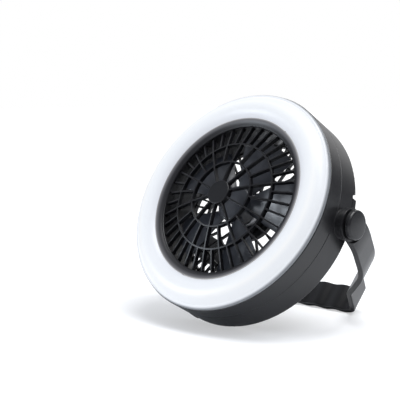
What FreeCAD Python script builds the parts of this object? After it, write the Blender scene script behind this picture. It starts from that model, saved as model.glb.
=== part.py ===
import FreeCAD, Part
import math
import os

# A portable camping fan: a round battery fan inside a ring lantern, with a bail
# handle that is also its stand, and a hook that folds into the handle's grip.
#
# Every piece is modelled in the fan's own frame: X along the handle's pivots, Y up
# the face of the fan and Z out of its front. Z = 0 is the front edge of the housing.
# The finished pieces are then leaned back and set on the floor, in millimetres.

V = FreeCAD.Vector
X_AXIS = V(1, 0, 0)
Z_AXIS = V(0, 0, 1)
ORIGIN = V(0, 0, 0)

# Anything shorter than this is left out of a profile, or counts as being in place
SHORTEST_EDGE = 0.002

# Stance
LEAN_ANGLE = 29.0

# Housing, two halves that meet at a seam
HOUSING_RADIUS = 90.0
HOUSING_DEPTH = 37.0
SEAM_DEPTH = 15.0
SHELL_WALL = 2.2
FRONT_EDGE_BREAK = 0.5
REAR_EDGE_ROUND = 2.0
SEAM_BREAK = 0.35
SEAM_TONGUE_HEIGHT = 1.5
SEAM_TONGUE_WALL = 1.0
DECK_DEPTH = 4.2
DECK_WALL = 1.6
DUCT_RADIUS = 61.8
DUCT_WALL = 2.0
DUCT_FRONT_DEPTH = 1.0
REAR_OPENING_RADIUS = 63.0
REAR_SEAT_DEPTH = 32.2
FIT_GAP = 0.2
RUNNING_GAP = 0.06
SIDE_GAP = 0.3

# Front grille, a domed web in a smooth funnel
GRILLE_OPENING_RADIUS = 60.6
GRILLE_EDGE_HEIGHT = 3.4
GRILLE_EDGE_ROUND = 1.2
GRILLE_SLOPE_BULGE = 0.5
GRILLE_RIM_RADIUS = 67.1
GRILLE_RIM_HEIGHT = 5.4
GRILLE_RIM_WALL = 1.7
GRILLE_LOWER_EDGE = 4.8
DOME_APEX = 13.2
DOME_SPHERE_RADIUS = 156.5
WEB_DEPTH = 3.6
WEB_BEND_RADIUS = 54.0
WEB_BEND_DROP = 3.0
HUB_DISC_RADIUS = 9.7
HUB_DISC_HEIGHT = 13.8
HUB_DISC_EDGE = 0.6
RIB_THICKNESS = 1.2
RING_THICKNESS = 1.2
INNER_RING_RADIUS = 27.0
OUTER_RING_RADIUS = 43.8
INNER_RIBS = 10
MIDDLE_RIBS = 20
OUTER_RIBS = 40
FRONT_RIB_PHASE = -90.0

# Rear grille, a flat web that also carries the motor
REAR_GRILLE_FACE = 35.8
REAR_RIB_DEPTH = 2.8
REAR_RIB_THICKNESS = 1.1
REAR_FRAME_WALL = 1.8
MOTOR_DISC_RADIUS = 20.0
MOTOR_DISC_FACE = 36.6
MOTOR_DISC_WALL = 2.0
REAR_INNER_RING_RADIUS = 33.0
REAR_OUTER_RING_RADIUS = 47.0
REAR_INNER_RIBS = 14
REAR_RIB_PHASE = -9.9
MOTOR_CUP_WALL = 1.6
MOTOR_CUP_HEIGHT = 7.0

# Ring light
DIFFUSER_CROWN_INSET = 11.0
DIFFUSER_CROWN_HEIGHT = 9.0
DIFFUSER_SHOULDER_HEIGHT = 3.2
DIFFUSER_SHOULDER_ROUND = 2.7
DIFFUSER_INNER_HEIGHT = 5.4
DIFFUSER_WALL = 1.5
LED_BOARD_WALL = 1.6
LED_COUNT = 30
LED_LENGTH = 5.0
LED_WIDTH = 3.0
LED_HEIGHT = 0.9

# Impeller and motor
BLADE_COUNT = 5
BLADE_PHASE = 3.0
BLADE_TIP_RADIUS = 54.5
BLADE_THICKNESS = 1.5
BLADE_EDGE = 0.7
BLADE_CAMBER = 1.6
BLADE_MIDPLANE = 12.4
BLADE_ROOT_RADIUS = 12.0
BLADE_MIDDLE_RADIUS = 35.0
BLADE_ROOT_CHORD = 12.5
BLADE_MIDDLE_CHORD = 34.0
BLADE_TIP_CHORD = 50.0
BLADE_ROOT_PITCH = 26.0
BLADE_MIDDLE_PITCH = 17.0
BLADE_TIP_PITCH = 13.0
IMPELLER_HUB_RADIUS = 14.5
IMPELLER_HUB_WALL = 1.6
IMPELLER_HUB_EDGE = 1.5
IMPELLER_FRONT_DEPTH = 6.4
IMPELLER_SKIRT = 12.0
IMPELLER_BOSS_RADIUS = 4.0
SHAFT_RADIUS = 1.0
SHAFT_INSERT = 8.0
MOTOR_RADIUS = 12.2
MOTOR_CAN_LENGTH = 11.2
MOTOR_CAP_LENGTH = 1.4
BUSH_RADIUS = 3.2
BUSH_LENGTH = 1.4

# Battery bays and their doors
CELL_RADIUS = 7.1
CELL_LENGTH = 49.2
CELL_NUB_RADIUS = 2.75
CELL_NUB_LENGTH = 1.3
CELL_GAP = 0.2
BAY_ANGLES = {"right": 12.0, "left": 136.0}
CELLS_PER_BAY = 2
BAY_WALL = 1.2
CONTACT_WALL = 0.5
CONTACT_WIDTH = 12.0
CONTACT_SPRING = 1.6
BAY_WALL_LIFT = 4.0
DOOR_INNER_EDGE = 66.0
DOOR_RIM = 3.4
DOOR_HALF_ANGLE = 25.0
DOOR_WALL = 1.8
DOOR_CORNER = 2.0
DOOR_HINGE_RADIUS = 63.6
DOOR_PIN_RADIUS = 0.6
DOOR_PIN_REACH = 2.2
DOOR_EAR_END = 28.8
DOOR_EAR_LENGTH = 3.0
DOOR_HINGE_GAP = 0.5
LATCH_WIDTH = 8.4
LATCH_SLOT_WIDTH = 13.0
LATCH_DEPTH = 5.0
LATCH_PROUD = 0.3

# Slide switch on the rim
SWITCH_ANGLE = -106.5
SWITCH_SLOT_WIDTH = 13.0
SWITCH_SLOT_DEPTH = 5.4
SWITCH_SLOT_RADIAL = 4.0
SWITCH_KNOB_WIDTH = 6.6
SWITCH_KNOB_RISE = 0.3
SWITCH_KNOB_PROUD = 1.4
SWITCH_FLANGE_WIDTH = 20.0
SWITCH_FLANGE_WALL = 1.2
SWITCH_FLANGE_DEPTH = 5.0
SWITCH_BODY_WIDTH = 13.0
SWITCH_BODY_DEPTH = 6.0
SWITCH_BODY_RADIAL = 5.0
BOARD_WIDTH = 26.0
BOARD_RADIAL = 13.0
BOARD_WALL = 1.6
BOARD_POST_RADIUS = 2.0
BOARD_POST_SPREAD = 10.0

# Power socket and its cover
JACK_ANGLE = 90.0
JACK_WIDTH = 9.0
JACK_HEIGHT = 11.0
JACK_LENGTH = 12.0
JACK_BORE_RADIUS = 2.75
JACK_PIN_RADIUS = 1.05
JACK_BORE_DEPTH = 9.0
JACK_WINDOW_RADIUS = 4.2
COVER_WIDTH = 16.0
COVER_WALL = 1.2
COVER_TOP_DEPTH = 23.0
COVER_FOOT_DEPTH = 6.4
COVER_PLUG_RADIUS = 3.4
COVER_PLUG_LENGTH = 0.9
COVER_BEAD_RADIUS = 0.5
COVER_BEAD_LENGTH = 10.0

# Pivots
PIVOT_DEPTH = 26.8
BOSS_RADIUS = 11.5
BOSS_PROUD = 2.0
PIN_RADIUS = 4.0
PIN_HEAD_RADIUS = 5.4
PIN_HEAD_LENGTH = 1.2
BOSS_INNER_LENGTH = 1.2
PIN_TENON_RADIUS = 2.6
PIN_TENON_LENGTH = 3.0
KNOB_RADIUS = 11.0
KNOB_LENGTH = 5.0
KNOB_NECK_RADIUS = 9.0
KNOB_NECK_LENGTH = 1.0
KNOB_EDGE = 1.8
KNOB_DOME = 0.6

# Handle
STRAP_THICKNESS = 4.4
STRAP_WIDTH = 23.0
STRAP_EDGE = 1.0
EYE_RADIUS = 12.0
EYE_LENGTH = 4.5
EYE_COUNTERBORE_RADIUS = 13.2
SHOULDER_START_HEIGHT = 17.0
SHOULDER_BEND_INSET = 8.6
SHOULDER_BEND_DROP = 52.4
SHOULDER_KINK_INSET = 33.2
SHOULDER_KINK_DROP = 25.4
START_ROUND = 55.0
BEND_ROUND = 45.0
KINK_ROUND = 9.0
GRIP_CLEARANCE = 13.4
GRIP_CORNER_ROUND = 7.5
GRIP_WAVE_PITCH = 9.3
GRIP_WAVES = 5
GRIP_WAVE_HEIGHT = 1.1
GRIP_WAVE_ROUND = 13.0
HOOK_SLOT_WIDTH = 7.0
HOOK_SLOT_END = 53.2
HOOK_SLOT_START = 4.4
KNUCKLE_RADIUS = 4.0
KNUCKLE_WIDTH = 15.0
KNUCKLE_DROP = 2.0

# Hook
HOOK_THICKNESS = 3.4
HOOK_WIDTH = 5.6
HOOK_EDGE = 0.8
HOOK_EYE_RADIUS = 3.0
HOOK_CURL_REACH = 50.6
HOOK_CURL_RADIUS = 9.0
HOOK_TIP_LENGTH = 5.0
HOOK_PIN_RADIUS = 1.2

# Case screws
SCREW_ANGLES = (72.0, -51.0, -163.0)
SCREW_CIRCLE_INSET = 11.0
SCREW_RADIUS = 1.3
SCREW_HEAD_RADIUS = 2.7
SCREW_HEAD_LENGTH = 2.0
SCREW_WELL_RADIUS = 3.0
SCREW_WELL_DEPTH = 5.0
SCREW_POST_RADIUS = 4.0
SCREW_POST_JOINT = 20.0
SCREW_REACH = 12.0

# Sizes that follow from the ones above
SHELL_INNER_RADIUS = HOUSING_RADIUS - SHELL_WALL
DIFFUSER_CROWN_RADIUS = HOUSING_RADIUS - DIFFUSER_CROWN_INSET
DOOR_OUTER_RADIUS = HOUSING_RADIUS - DOOR_RIM
SWITCH_SLOT_INNER = HOUSING_RADIUS - SWITCH_SLOT_RADIAL
SWITCH_KNOB_REACH = HOUSING_RADIUS + SWITCH_KNOB_RISE
SCREW_CIRCLE_RADIUS = HOUSING_RADIUS - SCREW_CIRCLE_INSET
BOSS_REACH = HOUSING_RADIUS + BOSS_PROUD
EYE_INNER_FACE = BOSS_REACH + SIDE_GAP
EYE_FACE = EYE_INNER_FACE + EYE_LENGTH
STRAP_REACH = EYE_FACE - FIT_GAP
GRIP_HEIGHT = HOUSING_RADIUS + GRIP_CLEARANCE
SHOULDER_START = V(STRAP_REACH, SHOULDER_START_HEIGHT, 0)
SHOULDER_BEND = V(STRAP_REACH - SHOULDER_BEND_INSET, GRIP_HEIGHT - SHOULDER_BEND_DROP, 0)
SHOULDER_KINK = V(STRAP_REACH - SHOULDER_KINK_INSET, GRIP_HEIGHT - SHOULDER_KINK_DROP, 0)
DIFFUSER_SKIRT_RADIUS = SHELL_INNER_RADIUS - FIT_GAP
DECK_BACK = DECK_DEPTH + DECK_WALL
DUCT_OUTER_RADIUS = DUCT_RADIUS + DUCT_WALL
REAR_PLATE_FRONT = HOUSING_DEPTH - SHELL_WALL
MOTOR_SEAT = MOTOR_DISC_FACE - MOTOR_DISC_WALL
MOTOR_CAP_FRONT = MOTOR_SEAT - MOTOR_CAP_LENGTH
MOTOR_CAN_FRONT = MOTOR_CAP_FRONT - MOTOR_CAN_LENGTH
CELL_DISTANCE = DOOR_INNER_EDGE + CELL_RADIUS + 2 * CELL_GAP
CELL_SPAN = CELL_LENGTH + CELL_NUB_LENGTH
BAY_HALF_LENGTH = CELL_SPAN / 2 + CONTACT_SPRING + CONTACT_WALL
PIN_END = EYE_FACE + SIDE_GAP
KNUCKLE_HEIGHT = GRIP_HEIGHT - GRIP_WAVE_HEIGHT - KNUCKLE_DROP
BOSS_INNER_FACE = SHELL_INNER_RADIUS - BOSS_INNER_LENGTH
JACK_FACE = SHELL_INNER_RADIUS - SEAM_TONGUE_WALL - 3 * FIT_GAP
COVER_HINGE_DEPTH = COVER_FOOT_DEPTH + COVER_BEAD_RADIUS
DOOR_HINGE_DEPTH = HOUSING_DEPTH - SHELL_WALL / 2


# Shaping helpers
def line(a, b):
    return Part.LineSegment(a, b).toShape()


def arc(a, middle, b):
    return Part.Arc(a, middle, b).toShape()


def at(radius, height):
    """A point of a turned profile: radius from the fan's axis, height along it."""
    return V(radius, 0, height)


def turned(edges):
    """The solid that a closed profile makes when it is turned round the fan's axis."""
    face = Part.Face(Part.Wire(edges))
    return face.revolve(ORIGIN, Z_AXIS, 360)


def closed_polygon(points):
    return [line(a, b) for a, b in zip(points, points[1:] + points[:1])]


def ring(inner, outer, back, front):
    """A plain ring between two depths behind the front edge, both positive."""
    body = Part.makeCylinder(outer, back - front, V(0, 0, -back))
    bore = Part.makeCylinder(inner, back - front, V(0, 0, -back))
    return body.cut(bore)


def block(x_from, x_to, y_from, y_to, z_from, z_to):
    return Part.makeBox(x_to - x_from, y_to - y_from, z_to - z_from, V(x_from, y_from, z_from))


def turn(shape, angle, centre=ORIGIN, axis=Z_AXIS):
    copy = shape.copy()
    copy.rotate(centre, axis, angle)
    return copy


def mirrored(shape):
    return shape.mirror(ORIGIN, X_AXIS)


def cylinder_x(radius, x_from, x_to, y=0.0, z=0.0):
    return Part.makeCylinder(radius, x_to - x_from, V(x_from, y, z), X_AXIS)


def polar(radius, angle, height=0.0):
    a = math.radians(angle)
    return V(radius * math.cos(a), radius * math.sin(a), height)


def bend_at(before, corner, after):
    """How a path turns at a point: its direction in and out, and the signed turn."""
    into = (corner - before).normalize()
    out = (after - corner).normalize()
    turn_angle = math.atan2(into.x * out.y - into.y * out.x, into.dot(out))
    return into, out, turn_angle


def rounded_edges(points, radii):
    """Straight runs through the points, joined by a tangent arc at each inner point."""
    edges = []
    start = points[0]
    for before, corner, after, radius in zip(points, points[1:], points[2:], radii):
        into, out, angle = bend_at(before, corner, after)
        reach = radius * math.tan(abs(angle) / 2)
        first = corner - into * reach
        last = corner + out * reach
        inward = (out - into).normalize()
        middle = corner + inward * (radius / math.cos(angle / 2) - radius)
        if (first - start).Length > SHORTEST_EDGE:
            edges.append(line(start, first))
        edges.append(arc(first, middle, last))
        start = last
    edges.append(line(start, points[-1]))
    return edges


def side_path(points, radii, offset):
    """The same path shifted sideways, to the left of its direction when positive."""
    shifted = []
    shifted_radii = []
    first_in = (points[1] - points[0]).normalize()
    shifted.append(points[0] + V(-first_in.y, first_in.x, 0) * offset)
    for before, corner, after, radius in zip(points, points[1:], points[2:], radii):
        into, out, angle = bend_at(before, corner, after)
        left = (V(-into.y, into.x, 0) + V(-out.y, out.x, 0)).normalize()
        shifted.append(corner + left * (offset / math.cos(angle / 2)))
        shifted_radii.append(radius - math.copysign(abs(offset), angle * offset))
    last_out = (points[-1] - points[-2]).normalize()
    shifted.append(points[-1] + V(-last_out.y, last_out.x, 0) * offset)
    return shifted, shifted_radii


def strip(points, radii, thickness, width, edge_round):
    """A flat band bent along a path in the XY plane, with its long edges rounded."""
    left_points, left_radii = side_path(points, radii, thickness / 2)
    right_points, right_radii = side_path(points, radii, -thickness / 2)
    edges = rounded_edges(left_points, left_radii)
    edges += rounded_edges(right_points, right_radii)
    edges.append(line(left_points[0], right_points[0]))
    edges.append(line(left_points[-1], right_points[-1]))
    outline = Part.Wire(Part.__sortEdges__(edges))
    outline.translate(V(0, 0, -width / 2))
    band = Part.Face(outline).extrude(V(0, 0, width))
    long_edges = [e for e in band.Edges if abs(abs(e.CenterOfMass.z) - width / 2) < SHORTEST_EDGE]
    return band.makeFillet(edge_round, long_edges)


# Housing
def screw_posts(back, front, radius, bore):
    posts = []
    for angle in SCREW_ANGLES:
        centre = polar(SCREW_CIRCLE_RADIUS, angle, -back)
        post = Part.makeCylinder(radius, back - front, centre)
        posts.append(post.cut(Part.makeCylinder(bore, back - front, centre)))
    return posts


def jack_pocket():
    """The hollow in the wall that the socket's cover lies in, and the window behind it."""
    half = COVER_WIDTH / 2 + SIDE_GAP
    arch_depth = COVER_TOP_DEPTH - COVER_WIDTH / 2
    floor_radius = HOUSING_RADIUS - COVER_WALL - SIDE_GAP
    outer = HOUSING_RADIUS + SHELL_WALL
    column = block(SHELL_INNER_RADIUS, outer, -half, half, -arch_depth, SIDE_GAP - COVER_FOOT_DEPTH)
    arch = cylinder_x(half, SHELL_INNER_RADIUS, outer, 0, -arch_depth)
    window = cylinder_x(JACK_WINDOW_RADIUS, SHELL_INNER_RADIUS - SHELL_WALL, outer, 0, -SEAM_DEPTH)
    pocket = column.fuse(arch)
    core = Part.makeCylinder(floor_radius, HOUSING_DEPTH, V(0, 0, -HOUSING_DEPTH))
    return turn(pocket.cut(core).fuse(window), JACK_ANGLE)


def make_front_housing():
    """Outer wall, deck under the ring light and the front half of the air duct."""
    outline = [
        at(HOUSING_RADIUS - SEAM_BREAK, -SEAM_DEPTH),
        at(HOUSING_RADIUS, SEAM_BREAK - SEAM_DEPTH),
        at(HOUSING_RADIUS, -FRONT_EDGE_BREAK),
        at(HOUSING_RADIUS - FRONT_EDGE_BREAK, 0),
        at(SHELL_INNER_RADIUS, 0),
        at(SHELL_INNER_RADIUS, -DECK_DEPTH),
        at(DUCT_OUTER_RADIUS, -DECK_DEPTH),
        at(DUCT_OUTER_RADIUS, -DUCT_FRONT_DEPTH),
        at(DUCT_RADIUS, -DUCT_FRONT_DEPTH),
        at(DUCT_RADIUS, -SEAM_DEPTH),
        at(DUCT_OUTER_RADIUS, -SEAM_DEPTH),
        at(DUCT_OUTER_RADIUS, -DECK_BACK),
        at(SHELL_INNER_RADIUS, -DECK_BACK),
        at(SHELL_INNER_RADIUS, -SEAM_DEPTH),
    ]
    shell = turned(closed_polygon(outline))
    posts = screw_posts(SCREW_POST_JOINT, DECK_BACK, SCREW_POST_RADIUS, SCREW_RADIUS + RUNNING_GAP)
    cradle = block(JACK_FACE - JACK_LENGTH, JACK_FACE, -JACK_WIDTH / 2, JACK_WIDTH / 2,
                   JACK_HEIGHT / 2 - SEAM_DEPTH, -DECK_BACK)
    shell = shell.fuse(posts + [turn(cradle, JACK_ANGLE)])
    return shell.cut(jack_pocket())


def door_outline(inner, outer, half_angle, back, front, corner):
    """A flat plate between radial sides, straight at the hinge and round at the rim."""
    height = back - front
    inner_corner = inner / math.cos(math.radians(half_angle))
    edges = [
        line(polar(inner_corner, -half_angle), polar(outer, -half_angle)),
        arc(polar(outer, -half_angle), polar(outer, 0), polar(outer, half_angle)),
        line(polar(outer, half_angle), polar(inner_corner, half_angle)),
        line(polar(inner_corner, half_angle), polar(inner_corner, -half_angle)),
    ]
    plate = Part.Face(Part.Wire(edges)).extrude(V(0, 0, height))
    upright = [e for e in plate.Edges if abs(e.Vertexes[0].Z - e.Vertexes[-1].Z) > height / 2]
    plate = plate.makeFillet(corner, upright)
    plate.translate(V(0, 0, -back))
    return plate


def bay_walls():
    """The end walls of a battery bay, from the duct out to the shell, with their contact posts."""
    walls = []
    outside = BAY_HALF_LENGTH + BAY_WALL
    near = math.sqrt(DUCT_RADIUS ** 2 - BAY_HALF_LENGTH ** 2)
    far = math.sqrt(SHELL_INNER_RADIUS ** 2 - BAY_HALF_LENGTH ** 2)
    back = REAR_PLATE_FRONT - BAY_WALL_LIFT
    for low, high in ((-outside, -BAY_HALF_LENGTH), (BAY_HALF_LENGTH, outside)):
        walls.append(block(near + DUCT_WALL, far, low, high, -back, -SEAM_DEPTH - FIT_GAP))
        walls.append(block(CELL_DISTANCE - CONTACT_WIDTH / 2, CELL_DISTANCE + CONTACT_WIDTH / 2,
                           low, high, -back, CONTACT_WIDTH / 2 - cell_depth(0)))
    return walls


def door_pins(radius, reach):
    """The stub pins at both ends of a door's hinge line, out of its ears into the plate."""
    pins = []
    for direction in (-1, 1):
        root = V(DOOR_HINGE_RADIUS, direction * (DOOR_EAR_END - reach), -DOOR_HINGE_DEPTH)
        pins.append(Part.makeCylinder(radius, 2 * reach, root, V(0, direction, 0)))
    return pins


def door_ears(wall):
    """The two ears that carry the pins, each with a round end about the hinge line."""
    ears = []
    barrel = HOUSING_DEPTH - DOOR_HINGE_DEPTH
    reach = DOOR_INNER_EDGE + DOOR_HINGE_GAP + wall
    for direction in (-1, 1):
        ends = (direction * (DOOR_EAR_END - DOOR_EAR_LENGTH), direction * DOOR_EAR_END)
        arm = block(DOOR_HINGE_RADIUS, reach, min(ends), max(ends), -HOUSING_DEPTH, wall - HOUSING_DEPTH)
        end = V(DOOR_HINGE_RADIUS, min(ends), -DOOR_HINGE_DEPTH)
        ears.append(arm.fuse(Part.makeCylinder(barrel, DOOR_EAR_LENGTH, end, V(0, 1, 0))))
    return ears


def ear_notches():
    """The cuts in the rear plate that a door's ears lie in."""
    notches = []
    near = DOOR_HINGE_RADIUS + DOOR_HINGE_DEPTH - HOUSING_DEPTH - FIT_GAP
    for direction in (-1, 1):
        ends = (direction * (DOOR_EAR_END - DOOR_EAR_LENGTH - FIT_GAP),
                direction * (DOOR_EAR_END + FIT_GAP))
        notches.append(block(near, DOOR_INNER_EDGE + DOOR_HINGE_GAP, min(ends), max(ends),
                             -HOUSING_DEPTH, -REAR_PLATE_FRONT))
    return notches


def latch_slot():
    """The cut in the rim that a door's latch tab clips into, with room for a finger."""
    return block(DOOR_OUTER_RADIUS - FIT_GAP, HOUSING_RADIUS + SHELL_WALL,
                 -LATCH_WIDTH / 2 - FIT_GAP, LATCH_SLOT_WIDTH - LATCH_WIDTH / 2,
                 -HOUSING_DEPTH - SHELL_WALL, LATCH_DEPTH - HOUSING_DEPTH)


def make_rear_housing():
    """Outer wall, rear plate with its openings, rear half of the duct and both bosses."""
    edge_centre = at(HOUSING_RADIUS - REAR_EDGE_ROUND, REAR_EDGE_ROUND - HOUSING_DEPTH)
    diagonal = REAR_EDGE_ROUND / math.sqrt(2)
    edge_start = at(HOUSING_RADIUS, REAR_EDGE_ROUND - HOUSING_DEPTH)
    edge_end = at(HOUSING_RADIUS - REAR_EDGE_ROUND, -HOUSING_DEPTH)
    tongue_outer = SHELL_INNER_RADIUS - FIT_GAP
    tongue_inner = tongue_outer - SEAM_TONGUE_WALL
    tongue_top = SEAM_TONGUE_HEIGHT - SEAM_DEPTH
    pocket_wall = REAR_OPENING_RADIUS + REAR_FRAME_WALL
    points = [
        edge_end,
        at(REAR_OPENING_RADIUS, -HOUSING_DEPTH),
        at(REAR_OPENING_RADIUS, -REAR_SEAT_DEPTH),
        at(DUCT_RADIUS, -REAR_SEAT_DEPTH),
        at(DUCT_RADIUS, -SEAM_DEPTH - FIT_GAP),
        at(DUCT_OUTER_RADIUS, -SEAM_DEPTH - FIT_GAP),
        at(DUCT_OUTER_RADIUS, DUCT_WALL - REAR_SEAT_DEPTH),
        at(pocket_wall, DUCT_WALL - REAR_SEAT_DEPTH),
        at(pocket_wall, -REAR_PLATE_FRONT),
        at(SHELL_INNER_RADIUS, -REAR_PLATE_FRONT),
        at(SHELL_INNER_RADIUS, -SEAM_DEPTH - SEAM_TONGUE_WALL),
        at(tongue_inner, -SEAM_DEPTH),
        at(tongue_inner, tongue_top),
        at(tongue_outer, tongue_top),
        at(tongue_outer, -SEAM_DEPTH),
        at(HOUSING_RADIUS - SEAM_BREAK, -SEAM_DEPTH),
        at(HOUSING_RADIUS, -SEAM_DEPTH - SEAM_BREAK),
        edge_start,
    ]
    edges = [line(a, b) for a, b in zip(points, points[1:])]
    edges.append(arc(edge_start, edge_centre + at(diagonal, -diagonal), edge_end))
    shell = turned(edges)

    added = screw_posts(HOUSING_DEPTH, SCREW_POST_JOINT + FIT_GAP, SCREW_POST_RADIUS,
                        SCREW_RADIUS + FIT_GAP)
    boss = cylinder_x(BOSS_RADIUS, BOSS_INNER_FACE, BOSS_REACH, 0, -PIVOT_DEPTH)
    added += [boss, mirrored(boss)]
    for angle in BAY_ANGLES.values():
        added += [turn(wall, angle) for wall in bay_walls()]
    post_inner = SWITCH_SLOT_INNER - SWITCH_FLANGE_WALL - SWITCH_BODY_RADIAL
    post_depth = REAR_PLATE_FRONT - SWITCH_BODY_DEPTH - SIDE_GAP
    for side in (-1, 1):
        foot = V(post_inner - BOARD_POST_RADIUS, side * BOARD_POST_SPREAD, -REAR_PLATE_FRONT)
        post = Part.makeCylinder(BOARD_POST_RADIUS, REAR_PLATE_FRONT - post_depth, foot)
        added.append(turn(post, SWITCH_ANGLE))
    shell = shell.fuse(added)

    cuts = [jack_pocket()]
    for angle in SCREW_ANGLES:
        cuts.append(Part.makeCylinder(SCREW_WELL_RADIUS, SCREW_WELL_DEPTH,
                                      polar(SCREW_CIRCLE_RADIUS, angle, -HOUSING_DEPTH)))
    for angle in BAY_ANGLES.values():
        opening = door_outline(DOOR_INNER_EDGE, DOOR_OUTER_RADIUS, DOOR_HALF_ANGLE,
                               HOUSING_DEPTH, REAR_PLATE_FRONT, DOOR_CORNER)
        holes = door_pins(DOOR_PIN_RADIUS + RUNNING_GAP, DOOR_PIN_REACH + FIT_GAP)
        cuts += [turn(cut, angle) for cut in [opening, latch_slot()] + ear_notches() + holes]
    switch_slot = block(SWITCH_SLOT_INNER, HOUSING_RADIUS + SHELL_WALL,
                        -SWITCH_SLOT_WIDTH / 2, SWITCH_SLOT_WIDTH / 2,
                        -HOUSING_DEPTH - SHELL_WALL, SWITCH_SLOT_DEPTH - HOUSING_DEPTH)
    cuts.append(turn(switch_slot, SWITCH_ANGLE))
    pin_hole = cylinder_x(PIN_RADIUS + RUNNING_GAP, BOSS_INNER_FACE, BOSS_REACH, 0, -PIVOT_DEPTH)
    cuts += [pin_hole, mirrored(pin_hole)]
    return shell.cut(cuts)


# Grilles
def dome_height(radius):
    return DOME_APEX - radius ** 2 / (2 * DOME_SPHERE_RADIUS)


def ribs(count, inner, outer, thickness, phase, back, front):
    """Radial plates between two radii, evenly spaced, to be trimmed to a web's outline."""
    plates = []
    for i in range(count):
        plate = block(inner, outer, -thickness / 2, thickness / 2, -back, front)
        plates.append(turn(plate, phase + 360.0 * i / count))
    return plates


def domed_web():
    """The turned envelope that the front ribs and rings are cut from."""
    inner = HUB_DISC_RADIUS / 2
    outer = GRILLE_OPENING_RADIUS + RIB_THICKNESS / 2
    middle = (inner + WEB_BEND_RADIUS) / 2
    bend = dome_height(WEB_BEND_RADIUS)
    shoulder = (WEB_BEND_RADIUS + outer) / 2
    shoulder_height = bend - WEB_BEND_DROP / 3
    down = V(0, 0, -WEB_DEPTH)
    top = [at(inner, dome_height(inner)), at(middle, dome_height(middle)), at(WEB_BEND_RADIUS, bend),
           at(shoulder, shoulder_height), at(outer, bend - WEB_BEND_DROP)]
    bottom = [point + down for point in top]
    edges = [
        arc(top[0], top[1], top[2]),
        arc(top[2], top[3], top[4]),
        line(top[4], bottom[4]),
        arc(bottom[4], bottom[3], bottom[2]),
        arc(bottom[2], bottom[1], bottom[0]),
        line(bottom[0], top[0]),
    ]
    return turned(edges)


def grille_rim():
    """The smooth funnel round the web: rounded where the air goes in, rising to the light."""
    inner = GRILLE_OPENING_RADIUS
    edge = GRILLE_EDGE_ROUND
    quarter = edge * (1 - 1 / math.sqrt(2))
    top = GRILLE_EDGE_HEIGHT
    tongue = DUCT_RADIUS - FIT_GAP
    skirt = GRILLE_RIM_RADIUS - GRILLE_RIM_WALL
    edge_low = at(inner, top - edge)
    edge_top = at(inner + edge, top)
    rim_top = at(GRILLE_RIM_RADIUS, GRILLE_RIM_HEIGHT)
    slope_middle = (edge_top + rim_top) * 0.5 + at(0, GRILLE_SLOPE_BULGE)
    points = [
        rim_top,
        at(GRILLE_RIM_RADIUS, -DECK_DEPTH),
        at(skirt, -DECK_DEPTH),
        at(skirt, GRILLE_RIM_HEIGHT - GRILLE_RIM_WALL),
        at(tongue, top - GRILLE_RIM_WALL),
        at(tongue, -GRILLE_LOWER_EDGE),
        at(inner, -GRILLE_LOWER_EDGE),
        edge_low,
    ]
    edges = [line(a, b) for a, b in zip(points, points[1:])]
    edges.append(arc(edge_low, at(inner + quarter, top - quarter), edge_top))
    edges.append(arc(edge_top, slope_middle, rim_top))
    return turned(edges)


def make_front_grille():
    """The domed web: more ribs in each zone outwards, two rings, a hub disc and the rim."""
    web = domed_web()
    overlap = RING_THICKNESS / 2
    plates = ribs(INNER_RIBS, HUB_DISC_RADIUS - overlap, INNER_RING_RADIUS, RIB_THICKNESS,
                  FRONT_RIB_PHASE, GRILLE_LOWER_EDGE, HUB_DISC_HEIGHT)
    plates += ribs(MIDDLE_RIBS, INNER_RING_RADIUS, OUTER_RING_RADIUS, RIB_THICKNESS,
                   FRONT_RIB_PHASE, GRILLE_LOWER_EDGE, HUB_DISC_HEIGHT)
    plates += ribs(OUTER_RIBS, OUTER_RING_RADIUS, GRILLE_OPENING_RADIUS + overlap, RIB_THICKNESS,
                   FRONT_RIB_PHASE, GRILLE_LOWER_EDGE, HUB_DISC_HEIGHT)
    pieces = web.common(Part.Compound(plates)).Solids
    for radius in (INNER_RING_RADIUS, OUTER_RING_RADIUS):
        hoop = ring(radius - overlap, radius + overlap, GRILLE_LOWER_EDGE, -HUB_DISC_HEIGHT)
        pieces += web.common(hoop).Solids
    disc_foot = dome_height(HUB_DISC_RADIUS) - WEB_DEPTH
    disc = Part.makeCylinder(HUB_DISC_RADIUS, HUB_DISC_HEIGHT - disc_foot, V(0, 0, disc_foot))
    rim_edges = [e for e in disc.Edges if e.CenterOfMass.z > (HUB_DISC_HEIGHT + disc_foot) / 2
                 and len(e.Vertexes) == 1]
    disc = disc.makeFillet(HUB_DISC_EDGE, rim_edges)
    return grille_rim().fuse(pieces + [disc]).removeSplitter()


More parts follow.
